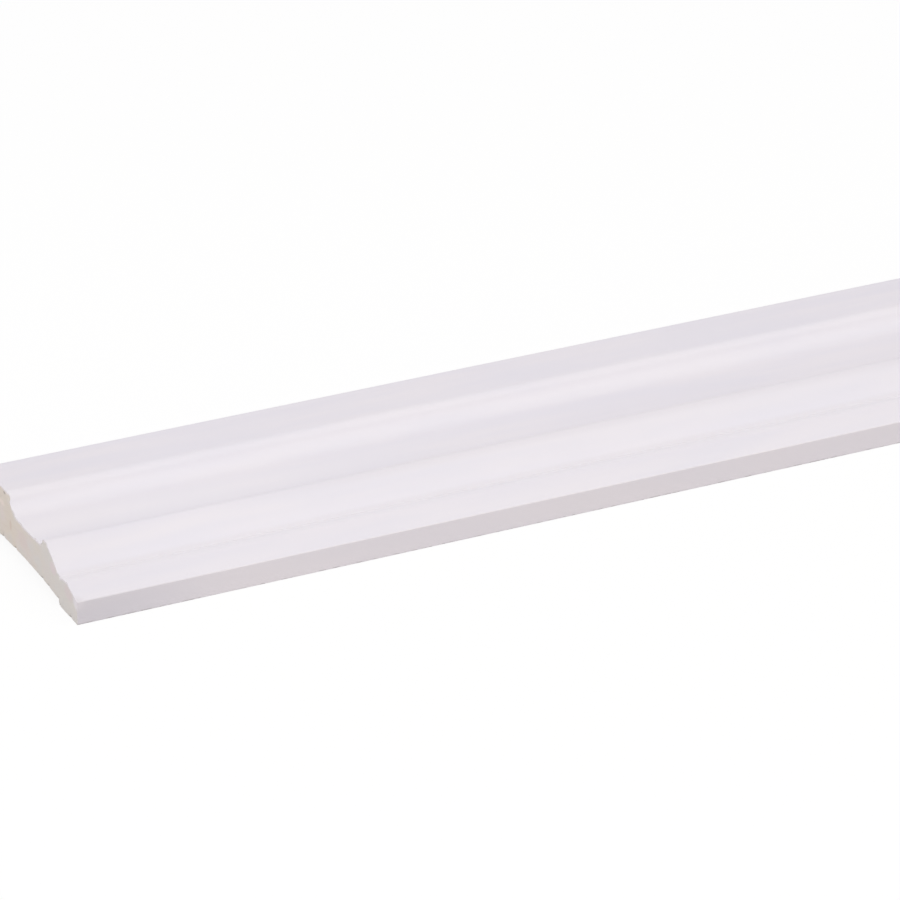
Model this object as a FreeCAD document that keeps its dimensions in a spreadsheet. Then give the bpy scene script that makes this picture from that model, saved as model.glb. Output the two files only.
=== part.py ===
"""Architrave moulding: one length of moulded softwood trim, lying on its back.

The length runs along X, the width along Y and the thickness along Z. The thin edge that meets
the door lining is at -Y and the thick back band at +Y. The origin is the middle of the back,
on the surface that the moulding lies on. All sizes are in millimetres, all angles in degrees.
"""

import FreeCAD, Part
import math
import os
import Sketcher

Vector = FreeCAD.Vector

NODE = "architrave"

# Each row is a name, its value and what it means.
SIZES = [
    ("stock_length", 2100.0, "full length, both ends sawn square"),
    ("stock_width", 69.0, "finished width"),
    ("stock_thickness", 18.0, "finished thickness at the back band"),
    ("band_width", 17.0, "flat face of the back band, from the back edge"),
    ("band_round", 3.2, "round between the back band and the step"),
    ("step_angle", 63.0, "slope of the step below the back band"),
    ("sweep_radius", 6.5, "hollow that carries the step into the cove"),
    ("cove_depth", 5.5, "lowest line of the cove, below the back band"),
    ("cove_hollow", 0.8, "sag of the cove between the back band and the crest of the bead"),
    ("bead_rise", 3.0, "crest of the bead above the lowest line of the cove"),
    ("bead_setback", 23.0, "crest of the bead, from the front edge"),
    ("bead_radius", 2.6, "round top of the bead"),
    ("quirk_angle", 52.0, "slope of the back of the bead, down into the quirk"),
    ("ovolo_radius", 40.0, "swelling face from the bead down to the nose"),
    ("ovolo_tilt", 28.0, "slope where the bead runs into that face"),
    ("crease_round", 0.8, "small hollow where that face meets the nose"),
    ("nose_depth", 8.2, "crest of the nose, below the back band"),
    ("nose_setback", 8.0, "crest of the nose, from the front edge"),
    ("nose_back_radius", 9.0, "round from the crest of the nose back to that hollow"),
    ("nose_radius", 4.0, "round in front of the crest of the nose"),
    ("nose_tilt", 20.0, "slope where that round runs into the nose face"),
    ("nose_face_radius", 60.0, "swelling face from the nose down to the front edge"),
    ("front_round", 0.3, "round above the front edge"),
    ("back_round", 0.4, "round along the back edge of the back band"),
    ("foot_round", 0.3, "eased edges that the moulding lies on"),
    ("front_pad", 13.4, "flat of the back under the front edge"),
    ("back_pad", 7.5, "flat of the back under the back band"),
    ("relief_wall_depth", 1.7, "depth of the relief at its walls"),
    ("relief_wall_run", 0.5, "how far each wall of the relief leans over"),
    ("relief_radius", 250.0, "shallow arch of the relief"),
]

# The cove spans from the crest of the bead to the back band, and its sag sets its radius.
HALF_COVE = "(Sizes.stock_width - Sizes.band_width - Sizes.bead_setback) / 2"
COVE_RADIUS = "((%s) ^ 2 / Sizes.cove_hollow + Sizes.cove_hollow) / 2" % HALF_COVE
COVE_FLOOR = "Sizes.stock_thickness - Sizes.cove_depth"

# How one piece of an outline joins the next.
SMOOTH = "Tangent"
CREASE = "Coincident"

# The sketcher's numbers for the points of a piece and for its axes.
START = 1
END = 2
CENTRE = 3
X_AXIS = -1
ORIGIN = (-1, START)

# Two edges closer than this are taken for the same one.
NEAR = 0.001


def make_sheet(doc):
    """Put every size into a spreadsheet cell that has the size's name."""
    sheet = doc.addObject("Spreadsheet::Sheet", "Sizes")
    for row, (name, value, meaning) in enumerate(SIZES, start=1):
        sheet.set("A%d" % row, name)
        sheet.set("B%d" % row, str(value))
        sheet.set("C%d" % row, meaning)
        sheet.setAlias("B%d" % row, name)
    doc.recompute()
    return sheet


def section_sketch(body, name):
    """Start an empty sketch on the body's own YZ plane: across is Y, up is Z."""
    plane = [item for item in body.Origin.OriginFeatures if item.Role == "YZ_Plane"][0]
    sketch = body.newObject("Sketcher::SketchObject", name)
    sketch.AttachmentSupport = [(plane, "")]
    sketch.MapMode = "FlatFace"
    return sketch


def leaning(tilt):
    """Unit vector that stands upright at tilt 0 and leans towards the front edge as tilt grows."""
    angle = math.radians(tilt)
    return Vector(-math.sin(angle), math.cos(angle), 0)


def arc_about(centre, first, last):
    """Anticlockwise arc about a centre, from one point to another."""
    circle = Part.Circle(centre, Vector(0, 0, 1), (first - centre).Length)
    from_angle = math.atan2(first.y - centre.y, first.x - centre.x)
    to_angle = math.atan2(last.y - centre.y, last.x - centre.x)
    return Part.ArcOfCircle(circle, from_angle, to_angle)


def upper_crossing(centre_a, radius_a, centre_b, radius_b):
    """Upper point where two circles cross."""
    apart = centre_b - centre_a
    reach = apart.Length
    along = (reach ** 2 + radius_a ** 2 - radius_b ** 2) / (2 * reach)
    aside = math.sqrt(radius_a ** 2 - along ** 2)
    unit = apart / reach
    foot = centre_a + unit * along
    normal = Vector(-unit.y, unit.x, 0)
    crossings = [foot + normal * aside, foot - normal * aside]
    return max(crossings, key=lambda point: point.y)


def way_out(start, direction, centre, radius):
    """Distance from a point inside a circle, along a direction, to where it leaves the circle."""
    offset = start - centre
    half = offset.dot(direction)
    return math.sqrt(half ** 2 - offset.dot(offset) + radius ** 2) - half


class Outline:
    """Closed outline drawn anticlockwise in a sketch, each piece joined to the one before it."""

    def __init__(self, sketch, start):
        self.sketch = sketch
        self.place = start
        self.last = None
        self.first = None

    def line_to(self, end, join=CREASE):
        """Draw a straight piece and return its index."""
        index = self.sketch.addGeometry(Part.LineSegment(self.place, end), False)
        self.join(index, START, END, end, join)
        return index

    def swell_to(self, end, centre, join=SMOOTH):
        """Draw an arc that bulges out of the outline and return its index."""
        index = self.sketch.addGeometry(arc_about(centre, self.place, end), False)
        self.join(index, START, END, end, join)
        return index

    def hollow_to(self, end, centre, join=SMOOTH):
        """Draw an arc that bites into the outline and return its index."""
        index = self.sketch.addGeometry(arc_about(centre, end, self.place), False)
        self.join(index, END, START, end, join)
        return index

    def join(self, index, near_end, far_end, place, kind):
        """Join a new piece to the end of the last one."""
        if self.last is None:
            self.first = (index, near_end)
        else:
            self.fix(kind, *self.last, index, near_end)
        self.last = (index, far_end)
        self.place = place

    def close(self):
        """Join the last piece to the first, with a crease."""
        self.fix(CREASE, *self.last, *self.first)

    def fix(self, kind, *parts):
        """Add a constraint that needs no size."""
        self.sketch.addConstraint(Sketcher.Constraint(kind, *parts))

    def across(self, first, second, formula):
        """Hold the distance across from one point to another at a formula of the sizes."""
        now = self.sketch.getPoint(*second).x - self.sketch.getPoint(*first).x
        self.bind(Sketcher.Constraint("DistanceX", *first, *second, now), formula)

    def up(self, first, second, formula):
        """Hold the height of one point above another at a formula of the sizes."""
        now = self.sketch.getPoint(*second).y - self.sketch.getPoint(*first).y
        self.bind(Sketcher.Constraint("DistanceY", *first, *second, now), formula)

    def radius(self, arc, formula):
        """Hold the radius of an arc at a formula of the sizes."""
        now = self.sketch.Geometry[arc].Radius
        self.bind(Sketcher.Constraint("Radius", arc, now), formula)

    def slope(self, outer, inner, radius, tilt):
        """Hold the slope at the end of a round by how far that end lies from the centre."""
        self.across(outer, inner, "%s * sin(%s * 1 deg)" % (radius, tilt))

    def bind(self, constraint, formula):
        """Add a constraint and tie its value to the sheet."""
        number = self.sketch.addConstraint(constraint)
        self.sketch.setExpression("Constraints[%d]" % number, formula)


class Section:
    """Moulded section: where its rounds are centred, and where each piece runs into the next."""

    def __init__(self, size):
        self.size = size
        self.front = -size.stock_width / 2
        self.back = size.stock_width / 2
        self.band_start = self.back - size.band_width
        self.cove_floor = size.stock_thickness - size.cove_depth
        self.front_foot = Vector(self.front, 0, 0)
        self.back_foot = Vector(self.back, 0, 0)
        self.back_top = Vector(self.back, size.stock_thickness, 0)
        self.band_front = Vector(self.band_start, size.stock_thickness, 0)
        self.place_cove()
        self.place_step()
        self.place_bead()
        self.place_nose()
        self.place_front_edge()

    def place_cove(self):
        """Find the circle that the floor of the cove lies on."""
        half_span = (self.size.stock_width - self.size.band_width - self.size.bead_setback) / 2
        sag = self.size.cove_hollow
        self.cove_radius = (half_span ** 2 / sag + sag) / 2
        self.cove_centre = Vector(
            self.band_start - half_span, self.cove_floor + self.cove_radius, 0
        )

    def place_step(self):
        """Drop from the back band and sweep out into the cove."""
        outward = leaning(self.size.step_angle)
        downward = Vector(-outward.y, outward.x, 0)
        self.band_centre = self.band_front - Vector(0, self.size.band_round, 0)
        self.step_top = self.band_centre + outward * self.size.band_round
        sweep_start = self.step_top + outward * self.size.sweep_radius
        reach = self.cove_radius - self.size.sweep_radius
        drop = way_out(sweep_start, downward, self.cove_centre, reach)
        self.step_foot = self.step_top + downward * drop
        self.sweep_centre = sweep_start + downward * drop
        to_sweep = (self.sweep_centre - self.cove_centre).normalize()
        self.cove_back = self.cove_centre + to_sweep * self.cove_radius

    def place_bead(self):
        """Stand the bead in front of the cove, with a sharp quirk between them."""
        height = self.cove_floor + self.size.bead_rise - self.size.bead_radius
        self.bead_centre = Vector(self.front + self.size.bead_setback, height, 0)
        outward = leaning(-self.size.quirk_angle)
        downward = Vector(outward.y, -outward.x, 0)
        self.bead_back = self.bead_centre + outward * self.size.bead_radius
        fall = way_out(self.bead_back, downward, self.cove_centre, self.cove_radius)
        self.quirk = self.bead_back + downward * fall
        ovolo_outward = leaning(self.size.ovolo_tilt)
        self.bead_front = self.bead_centre + ovolo_outward * self.size.bead_radius
        self.ovolo_centre = self.bead_front - ovolo_outward * self.size.ovolo_radius

    def place_nose(self):
        """Raise the nose in front of the ovolo, with a small hollow between them."""
        height = self.size.stock_thickness - self.size.nose_depth
        self.nose_top = Vector(self.front + self.size.nose_setback, height, 0)
        self.nose_back_centre = self.nose_top - Vector(0, self.size.nose_back_radius, 0)
        hollow = self.size.crease_round
        self.crease_centre = upper_crossing(
            self.ovolo_centre, self.size.ovolo_radius + hollow,
            self.nose_back_centre, self.size.nose_back_radius + hollow,
        )
        to_ovolo = (self.ovolo_centre - self.crease_centre).normalize()
        self.ovolo_foot = self.crease_centre + to_ovolo * hollow
        to_nose = (self.nose_back_centre - self.crease_centre).normalize()
        self.nose_foot = self.crease_centre + to_nose * hollow
        outward = leaning(self.size.nose_tilt)
        self.nose_centre = self.nose_top - Vector(0, self.size.nose_radius, 0)
        self.face_top = self.nose_centre + outward * self.size.nose_radius
        self.face_centre = self.face_top - outward * self.size.nose_face_radius

    def place_front_edge(self):
        """Round the nose face over into the upright front edge."""
        across = self.front + self.size.front_round
        reach = self.size.nose_face_radius - self.size.front_round
        rise = math.sqrt(reach ** 2 - (self.face_centre.x - across) ** 2)
        self.round_centre = Vector(across, self.face_centre.y + rise, 0)
        self.edge_top = Vector(self.front, self.round_centre.y, 0)
        to_round = (self.round_centre - self.face_centre).normalize()
        self.face_foot = self.face_centre + to_round * self.size.nose_face_radius

    def draw(self, sketch):
        """Draw the section anticlockwise, from the foot of the front edge round over the back."""
        outline = Outline(sketch, self.front_foot)
        foot = outline.line_to(self.back_foot)
        back_edge = outline.line_to(self.back_top)
        band = outline.line_to(self.band_front)
        band_round = outline.swell_to(self.step_top, self.band_centre)
        outline.line_to(self.step_foot, SMOOTH)
        sweep = outline.hollow_to(self.cove_back, self.sweep_centre)
        cove = outline.hollow_to(self.quirk, self.cove_centre)
        outline.line_to(self.bead_back)
        bead = outline.swell_to(self.bead_front, self.bead_centre)
        ovolo = outline.swell_to(self.ovolo_foot, self.ovolo_centre)
        crease = outline.hollow_to(self.nose_foot, self.crease_centre)
        nose_back = outline.swell_to(self.nose_top, self.nose_back_centre)
        nose = outline.swell_to(self.face_top, self.nose_centre)
        nose_face = outline.swell_to(self.face_foot, self.face_centre)
        front_round = outline.swell_to(self.edge_top, self.round_centre)
        front_edge = outline.line_to(self.front_foot, SMOOTH)
        outline.close()

        # Straight pieces lie square to the back, and the crest of the nose is its highest line.
        outline.fix("PointOnObject", foot, START, X_AXIS)
        outline.fix("Horizontal", foot)
        outline.fix("Vertical", back_edge)
        outline.fix("Horizontal", band)
        outline.fix("Vertical", front_edge)
        outline.fix("Vertical", nose_back, CENTRE, nose_back, END)

        # Places across the width.
        start = (foot, START)
        outline.across(start, ORIGIN, "Sizes.stock_width / 2")
        outline.across(start, (foot, END), "Sizes.stock_width")
        outline.across((band, END), (band, START), "Sizes.band_width")
        outline.across((cove, CENTRE), (band, END), HALF_COVE)
        outline.across(start, (bead, CENTRE), "Sizes.bead_setback")
        outline.across(start, (nose, START), "Sizes.nose_setback")

        # Heights above the back.
        outline.up((foot, END), (band, START), "Sizes.stock_thickness")
        outline.up(start, (cove, CENTRE), "%s + %s" % (COVE_FLOOR, COVE_RADIUS))
        bead_height = "%s + Sizes.bead_rise - Sizes.bead_radius" % COVE_FLOOR
        outline.up(start, (bead, CENTRE), bead_height)
        outline.up(start, (nose, START), "Sizes.stock_thickness - Sizes.nose_depth")

        # Slopes where a round hands over to the next piece.
        outline.slope(
            (band_round, END), (band_round, CENTRE), "Sizes.band_round", "Sizes.step_angle"
        )
        outline.slope((bead, CENTRE), (bead, START), "Sizes.bead_radius", "Sizes.quirk_angle")
        outline.slope((bead, END), (bead, CENTRE), "Sizes.bead_radius", "Sizes.ovolo_tilt")
        outline.slope((nose, END), (nose, CENTRE), "Sizes.nose_radius", "Sizes.nose_tilt")

        outline.radius(band_round, "Sizes.band_round")
        outline.radius(sweep, "Sizes.sweep_radius")
        outline.radius(cove, COVE_RADIUS)
        outline.radius(bead, "Sizes.bead_radius")
        outline.radius(ovolo, "Sizes.ovolo_radius")
        outline.radius(crease, "Sizes.crease_round")
        outline.radius(nose_back, "Sizes.nose_back_radius")
        outline.radius(nose, "Sizes.nose_radius")
        outline.radius(nose_face, "Sizes.nose_face_radius")
        outline.radius(front_round, "Sizes.front_round")


def draw_relief(sketch, size):
    """Draw the shallow hollow that is run out of the back, between its two flats."""
    front = -size.stock_width / 2 + size.front_pad
    back = size.stock_width / 2 - size.back_pad
    front_top = Vector(front + size.relief_wall_run, size.relief_wall_depth, 0)
    back_top = Vector(back - size.relief_wall_run, size.relief_wall_depth, 0)
    half_span = (back_top.x - front_top.x) / 2
    sunk = math.sqrt(size.relief_radius ** 2 - half_span ** 2)
    arch_centre = (front_top + back_top) / 2 - Vector(0, sunk, 0)

    outline = Outline(sketch, Vector(front, 0, 0))
    mouth = outline.line_to(Vector(back, 0, 0))
    outline.line_to(back_top)
    arch = outline.swell_to(front_top, arch_centre, CREASE)
    outline.line_to(Vector(front, 0, 0))
    outline.close()

    outline.fix("PointOnObject", mouth, START, X_AXIS)
    outline.fix("Horizontal", mouth)
    outline.across((mouth, START), ORIGIN, "Sizes.stock_width / 2 - Sizes.front_pad")
    outline.across(ORIGIN, (mouth, END), "Sizes.stock_width / 2 - Sizes.back_pad")
    outline.across((mouth, START), (arch, END), "Sizes.relief_wall_run")
    outline.across((arch, START), (mouth, END), "Sizes.relief_wall_run")
    outline.up((mouth, START), (arch, END), "Sizes.relief_wall_depth")
    outline.up((mouth, END), (arch, START), "Sizes.relief_wall_depth")
    outline.radius(arch, "Sizes.relief_radius")


def long_edges(shape, corners):
    """Names of the edges along X that pass through the given corners of the section."""
    names = []
    for number, edge in enumerate(shape.Edges, start=1):
        box = edge.BoundBox
        if box.YLength > NEAR or box.ZLength > NEAR:
            continue
        for across, up in corners:
            if abs(box.YMin - across) < NEAR and abs(box.ZMin - up) < NEAR:
                names.append("Edge%d" % number)
    return names


def round_edges(body, base, name, corners, radius_formula):
    """Round the long edges at the given corners of the section."""
    edges = long_edges(base.Shape, corners)
    if len(edges) != len(corners):
        raise RuntimeError("%s found %d of %d edges" % (name, len(edges), len(corners)))
    fillet = body.newObject("PartDesign::Fillet", name)
    fillet.Base = (base, edges)
    fillet.setExpression("Radius", radius_formula)
    body.Document.recompute()
    return fillet


def build_architrave(doc, size):
    """Run the section along the length, hollow the back and ease the square edges."""
    body = doc.addObject("PartDesign::Body", "Architrave")
    body.Label = NODE

    section = section_sketch(body, "Section")
    Section(size).draw(section)
    length = body.newObject("PartDesign::Pad", "Length")
    length.Profile = section
    length.Midplane = True
    length.setExpression("Length", "Sizes.stock_length")
    doc.recompute()

    relief_section = section_sketch(body, "ReliefSection")
    draw_relief(relief_section, size)
    relief = body.newObject("PartDesign::Pocket", "Relief")
    relief.Profile = relief_section
    relief.Type = "ThroughAll"
    relief.Midplane = True
    doc.recompute()
    if relief.Shape.Volume >= length.Shape.Volume:
        raise RuntimeError("the relief took nothing out of the back")

    half_width = size.stock_width / 2
    foot_corners = [(-half_width, 0), (half_width, 0)]
    feet = round_edges(body, relief, "FootRounds", foot_corners, "Sizes.foot_round")
    top_corner = [(half_width, size.stock_thickness)]
    round_edges(body, feet, "BackRound", top_corner, "Sizes.back_round")
    return body


def check(doc, body):
    """Stop if any object failed or the finished shape isn't one sound solid."""
    for item in doc.Objects:
        if "Invalid" in item.State or "Error" in item.State:
            raise RuntimeError("%s failed: %s" % (item.Label, item.State))
        if item.TypeId == "Sketcher::SketchObject" and item.solve() != 0:
            raise RuntimeError("%s doesn't solve" % item.Label)
    shape = body.Shape
    if shape.isNull() or not shape.isValid() or len(shape.Solids) != 1:
        raise RuntimeError("%s isn't one sound solid" % body.Label)


def main():
    """Build the moulding and write it out."""
    doc = FreeCAD.newDocument("Architrave")
    size = make_sheet(doc)
    body = build_architrave(doc, size)
    check(doc, body)
    os.makedirs("parts", exist_ok=True)
    body.Shape.exportStep("parts/%s.step" % body.Label)
    box = body.Shape.BoundBox
    print("%s: %.1f x %.1f x %.1f mm" % (body.Label, box.XLength, box.YLength, box.ZLength))
    print("volume %.0f mm3, %d faces" % (body.Shape.Volume, len(body.Shape.Faces)))


main()
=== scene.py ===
"""Looks of an architrave moulding: one length of primed softwood trim that lies on its back.

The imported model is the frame: the length runs along X, the width along Y with the thin edge at
-Y, and the thickness along Z. Lengths are in metres and angles in degrees.
"""

import logging
import math
from collections.abc import Mapping, Sequence
from dataclasses import dataclass, field
from enum import Enum
from functools import cached_property

import bmesh
import bpy
import numpy as np
from mathutils import Matrix, Vector
from mathutils.geometry import delaunay_2d_cdt
from mathutils.noise import noise


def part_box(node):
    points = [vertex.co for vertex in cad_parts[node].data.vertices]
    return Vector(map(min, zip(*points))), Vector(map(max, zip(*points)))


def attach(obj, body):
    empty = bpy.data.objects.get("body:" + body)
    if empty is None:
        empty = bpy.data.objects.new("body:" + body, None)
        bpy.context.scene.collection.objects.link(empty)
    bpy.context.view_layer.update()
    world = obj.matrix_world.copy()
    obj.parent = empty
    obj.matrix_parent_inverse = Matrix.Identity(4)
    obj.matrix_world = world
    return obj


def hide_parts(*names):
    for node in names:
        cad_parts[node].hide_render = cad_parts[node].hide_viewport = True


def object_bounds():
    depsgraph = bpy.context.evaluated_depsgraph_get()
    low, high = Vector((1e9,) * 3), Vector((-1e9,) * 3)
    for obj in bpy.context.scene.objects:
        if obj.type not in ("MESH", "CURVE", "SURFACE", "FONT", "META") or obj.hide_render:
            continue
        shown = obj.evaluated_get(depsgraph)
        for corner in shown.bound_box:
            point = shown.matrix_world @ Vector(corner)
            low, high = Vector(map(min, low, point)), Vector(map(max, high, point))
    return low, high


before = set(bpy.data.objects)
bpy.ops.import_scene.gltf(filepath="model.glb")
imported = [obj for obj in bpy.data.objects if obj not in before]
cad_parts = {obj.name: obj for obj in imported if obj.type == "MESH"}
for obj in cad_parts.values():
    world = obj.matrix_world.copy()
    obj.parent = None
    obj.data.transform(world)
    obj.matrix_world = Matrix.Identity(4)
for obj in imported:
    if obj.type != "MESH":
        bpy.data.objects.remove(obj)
CAD_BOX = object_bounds()

LOG = logging.getLogger("architrave")
CAD_NODE = "architrave"
BODY = "root"
RIM_ATTRIBUTE = "rim"
TORN_AND_SHADED_ATTRIBUTE = "torn_and_shaded"
BAKE_MAP = "OFBake"
FILL_INSIDE = 1
MM = 0.001

RGB = tuple[float, float, float]
WHITE: RGB = (1.0, 1.0, 1.0)


def tone(red: int, green: int, blue: int) -> RGB:
    """Turn a screen colour into the linear one that a shader takes.

    Args:
        red: Red from 0 to 255.
        green: Green from 0 to 255.
        blue: Blue from 0 to 255.

    Returns:
        The same colour in linear light.
    """
    shares = (level / 255 for level in (red, green, blue))
    return tuple(
        share / 12.92 if share <= 0.04045 else ((share + 0.055) / 1.055) ** 2.4
        for share in shares
    )


class Zone(Enum):
    """Part of the surface that has a finish of its own. Its value is the material's index."""

    PRIMED = 0
    BACK = 1
    SAWN = 2


class End(Enum):
    """Sawn end of the length. Its value is the way that the end faces along X."""

    NEAR = -1
    FAR = 1


class Wire:
    """Output of a node. Sums and products of wires add the Math nodes that work them out."""

    def __init__(self, graph: "Graph", socket: bpy.types.NodeSocket | None) -> None:
        """Hold an output of one of the graph's nodes, or none for a node without outputs."""
        self.graph = graph
        self.socket = socket

    def _maths(self, operation: str, first: "Value", second: "Value" = 0.0) -> "Wire":
        """Add a Math node for one operation."""
        return self.graph.node("ShaderNodeMath", {"operation": operation}, {0: first, 1: second})

    def __add__(self, other: "Value") -> "Wire":
        """Add a value."""
        return self._maths("ADD", self, other)

    def __radd__(self, other: "Value") -> "Wire":
        """Be added to a value."""
        return self._maths("ADD", other, self)

    def __sub__(self, other: "Value") -> "Wire":
        """Take a value away."""
        return self._maths("SUBTRACT", self, other)

    def __rsub__(self, other: "Value") -> "Wire":
        """Be taken away from a value."""
        return self._maths("SUBTRACT", other, self)

    def __mul__(self, other: "Value") -> "Wire":
        """Multiply by a value."""
        return self._maths("MULTIPLY", self, other)

    def __rmul__(self, other: "Value") -> "Wire":
        """Multiply a value."""
        return self._maths("MULTIPLY", other, self)

    def __truediv__(self, other: "Value") -> "Wire":
        """Divide by a value."""
        return self._maths("DIVIDE", self, other)

    def __rtruediv__(self, other: "Value") -> "Wire":
        """Divide a value."""
        return self._maths("DIVIDE", other, self)

    def __abs__(self) -> "Wire":
        """Drop the sign."""
        return self._maths("ABSOLUTE", self)

    def larger(self, other: "Value") -> "Wire":
        """Take the larger of this and another value."""
        return self._maths("MAXIMUM", self, other)

    def wave(self) -> "Wire":
        """Take the sine, as an angle in radians."""
        return self._maths("SINE", self)

    def fraction(self) -> "Wire":
        """Keep what is left after the whole number."""
        return self._maths("FRACT", self)

    def hypotenuse(self, other: "Wire") -> "Wire":
        """Give the long side of a right-angled triangle with this and another wire as short sides."""
        return self._maths("SQRT", self * self + other * other)

    def rise(self, low: float, high: float) -> "Wire":
        """Grow smoothly from 0 to 1 between two values.

        Args:
            low: Value at which the result is 0.
            high: Value at which the result is 1. It may lie below low.

        Returns:
            The smooth step between the two.
        """
        settings = {"interpolation_type": "SMOOTHSTEP"}
        if low <= high:
            return self.graph.node(
                "ShaderNodeMapRange", settings, {"Value": self, "From Min": low, "From Max": high}
            )
        return 1.0 - self.rise(high, low)


Value = Wire | float | Sequence[float]


@dataclass(frozen=True)
class Patches:
    """Smooth random patches: their length along X, Y and Z, and how many finer layers they have.

    Their values lie round a half. Limits spread them: 0 up to the first and 1 from the second.
    """

    along: float
    across: float
    up: float
    detail: float = 2.0
    limits: tuple[float, float] | None = None


class Graph:
    """Nodes of one material or world, added as they are needed."""

    MIX_FIRST = 6
    MIX_SECOND = 7
    MIX_RESULT = 2
    FINER_SHARE = 0.55

    def __init__(self, tree: bpy.types.NodeTree) -> None:
        """Empty the tree of the nodes that it came with."""
        self.tree = tree
        tree.nodes.clear()

    def node(
        self,
        kind: str,
        settings: Mapping[str, object],
        sockets: Mapping[str | int, Value],
        output: str | int = 0,
    ) -> Wire:
        """Add a node.

        Args:
            kind: Blender's type name of the node.
            settings: Properties of the node, set before its sockets.
            sockets: Value or wire for each input, by name or number.
            output: Name or number of the output to hand back.

        Returns:
            The wire from that output.
        """
        made = self.tree.nodes.new(kind)
        for name, value in settings.items():
            setattr(made, name, value)
        for name, value in sockets.items():
            self._feed(made.inputs[name], value)
        return Wire(self, made.outputs[output] if made.outputs else None)

    def _feed(self, socket: bpy.types.NodeSocket, value: Value) -> None:
        """Link a wire to an input, or set a plain value on it.

        Args:
            socket: Input of a node.
            value: Wire, number, vector or colour.
        """
        if isinstance(value, Wire):
            self.tree.links.new(value.socket, socket)
        elif socket.type == "RGBA":
            socket.default_value = (*value, 1.0)
        else:
            socket.default_value = value

    def mix(self, share: Value, first: Value, second: Value) -> Wire:
        """Mix two colours.

        Args:
            share: Share of the second colour, from 0 to 1.
            first: Colour at share 0.
            second: Colour at share 1.

        Returns:
            The mixed colour.
        """
        settings = {"data_type": "RGBA", "clamp_factor": True}
        sockets = {0: share, self.MIX_FIRST: first, self.MIX_SECOND: second}
        return self.node("ShaderNodeMix", settings, sockets, self.MIX_RESULT)

    @cached_property
    def place(self) -> Wire:
        """Give the shaded point, in metres in the shared frame."""
        return self.node("ShaderNodeTexCoord", {}, {}, "Object")

    @cached_property
    def axes(self) -> tuple[Wire, Wire, Wire]:
        """Split the shaded point.

        Returns:
            How far it is along X, Y and Z.
        """
        split = self.node("ShaderNodeSeparateXYZ", {}, {"Vector": self.place})
        outputs = split.socket.node.outputs
        return tuple(Wire(self, outputs[name]) for name in "XYZ")

    def attribute(self, name: str) -> Wire:
        """Read a number that the mesh's vertices carry."""
        return self.node("ShaderNodeAttribute", {"attribute_name": name}, {}, "Fac")

    def distance(self, point: Sequence[float]) -> Wire:
        """Measure how far the shaded point is from another one."""
        sockets = {0: self.place, 1: tuple(point)}
        return self.node("ShaderNodeVectorMath", {"operation": "DISTANCE"}, sockets, "Value")

    def cloud(self, patches: Patches) -> Wire:
        """Lay smooth random patches over the piece.

        Args:
            patches: Size, detail and limits of the patches.

        Returns:
            Their values, from 0 to 1.
        """
        factors = tuple(1 / size for size in (patches.along, patches.across, patches.up))
        sockets = {0: self.place, 1: factors}
        scaled = self.node("ShaderNodeVectorMath", {"operation": "MULTIPLY"}, sockets)
        sockets = {
            "Vector": scaled,
            "Scale": 1.0,
            "Detail": patches.detail,
            "Roughness": self.FINER_SHARE,
        }
        cloudy = self.node("ShaderNodeTexNoise", {"noise_dimensions": "3D"}, sockets, "Fac")
        return cloudy.rise(*patches.limits) if patches.limits else cloudy


@dataclass
class Surface:
    """What a finish shows at each point of a piece."""

    colour: Value
    roughness: Value
    height: Wire
    relief: float


class Finish:
    """Finish of one zone: a name and what it shows."""

    name: str

    def surface(self, graph: Graph) -> Surface:
        """Work out the finish at the shaded point."""
        raise NotImplementedError

    def material(self) -> bpy.types.Material:
        """Make the material.

        Returns:
            A new material with its nodes in place.
        """
        made = bpy.data.materials.new(self.name)
        made.use_nodes = True
        graph = Graph(made.node_tree)
        shown = self.surface(graph)
        relief = {"Height": shown.height, "Distance": shown.relief}
        bump = graph.node("ShaderNodeBump", {}, relief)
        sockets = {"Base Color": shown.colour, "Roughness": shown.roughness, "Normal": bump}
        shader = graph.node("ShaderNodeBsdfPrincipled", {}, sockets)
        graph.node("ShaderNodeOutputMaterial", {}, {"Surface": shader})
        return made


# Tones of the painted light and painted shade that the strips lay on the primer.
PAINTED_LIGHT = tone(240, 237, 241)
PAINTED_SHADE = tone(220, 216, 222)


@dataclass(frozen=True)
class Strip:
    """Strip along the face that lays painted light or painted shade on the primer.

    It may fade between two distances from the near end: where it is gone and where it is full.
    """

    across: float
    reach: float
    shade: RGB
    share: float
    fade: tuple[float, float] | None = None


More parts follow.
